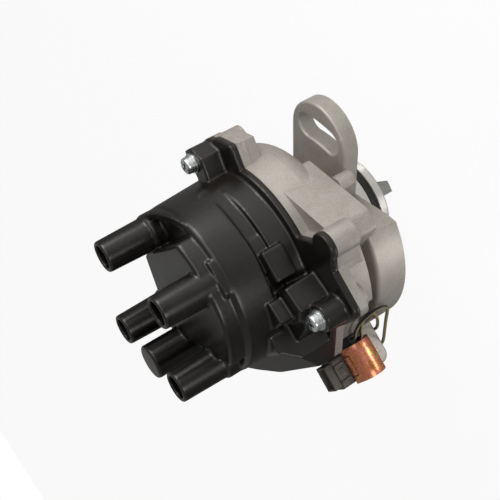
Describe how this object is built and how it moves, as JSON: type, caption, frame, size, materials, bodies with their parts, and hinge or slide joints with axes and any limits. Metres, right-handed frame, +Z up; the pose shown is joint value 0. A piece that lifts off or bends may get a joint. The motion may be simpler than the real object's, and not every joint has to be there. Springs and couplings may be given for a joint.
{
  "type": "ignition distributor",
  "caption": "Ignition distributor with a cast housing, clocked cap with vertical towers, internal coil, sensor and a dog-driven shaft.",
  "frame": {"origin": "shaft axis at the mounting face, where the pilot leaves the plate", "axes": "+Z up the shaft from the drive dog to the cap; +Y through the mounting ear and its slot"},
  "size_m": [0.1345, 0.1525, 0.1559],
  "materials": {
    "black_plastic": "moulded",
    "brass": "turned",
    "carbon": "pressed carbon",
    "cast_aluminium": "as cast, fine grain, machined pilot",
    "copper_clip": "yellow passivated, bright",
    "grey_plastic": "moulded",
    "ground_steel": "ground",
    "lamination": "laminated, oiled",
    "plain_steel": "rolled",
    "rubber": "satin",
    "thermoset": "moulded, semi-gloss",
    "wire_insulation": "black with a pale green stripe",
    "zinc_steel": "zinc plated"
  },
  "bodies": {
    "distributor_body": {"housing": "cast_aluminium", "pilot_o_ring": "rubber", "bearing_outer_race": "ground_steel", "bearing_retainer": "plain_steel", "retainer_screws": "zinc_steel", "oil_seal": "rubber", "shaft_bush": "brass", "angle_sensor": "black_plastic", "sensor_screws": "zinc_steel", "igniter_module": "black_plastic", "module_screws": "zinc_steel", "dust_cover": "black_plastic", "dust_cover_screws": "zinc_steel", "coil_core": "lamination", "coil_winding_body": "black_plastic", "coil_screws": "zinc_steel", "coil_terminal": "brass", "distributor_cap": "thermoset", "cap_gasket": "rubber", "cap_screws": "zinc_steel", "cap_screw_washers": "zinc_steel", "cap_spring_washers": "zinc_steel", "tower_terminals": "brass", "connector_clip": "copper_clip", "connector_holder": "black_plastic", "connector_body": "grey_plastic", "connector_pins": "brass", "connector_screw": "zinc_steel", "thrust_washer": "plain_steel", "signal_lead": "wire_insulation", "supply_lead": "wire_insulation", "lead_grommet": "rubber"},
    "rotor_shaft": {"shaft": "ground_steel", "coupling_pin": "ground_steel", "drive_coupling": "ground_steel", "bearing_inner_race": "ground_steel", "trigger_disc": "plain_steel", "disc_hub": "ground_steel", "disc_clamp_ring": "ground_steel", "rotor_arm": "thermoset", "rotor_grub_screw": "zinc_steel", "rotor_electrode": "brass"},
    "bearing_ball_set": {"bearing_balls": "ground_steel", "bearing_cage": "plain_steel"},
    "brush": {"carbon_brush": "carbon", "brush_spring": "plain_steel"}
  },
  "joints": [
    {"name": "shaft_spin", "type": "hinge", "parent": "distributor_body", "child": "rotor_shaft", "pos_m": [0, 0, 0], "axis": [0, 0, 1], "continuous": true},
    {"name": "ball_orbit", "type": "hinge", "parent": "distributor_body", "child": "bearing_ball_set", "pos_m": [0, 0, 0.021], "axis": [0, 0, 1], "continuous": true},
    {"name": "brush_slide", "type": "slide", "parent": "distributor_body", "child": "brush", "axis": [0, 0, 1], "range_m": [0, 0.002], "stiffness_N_per_m": 300, "springref_m": -0.003, "deforming": ["brush_spring"]}
  ],
  "couplings": [
    {"joint": "ball_orbit", "follows": "shaft_spin", "ratio": 0.3955}
  ]
}
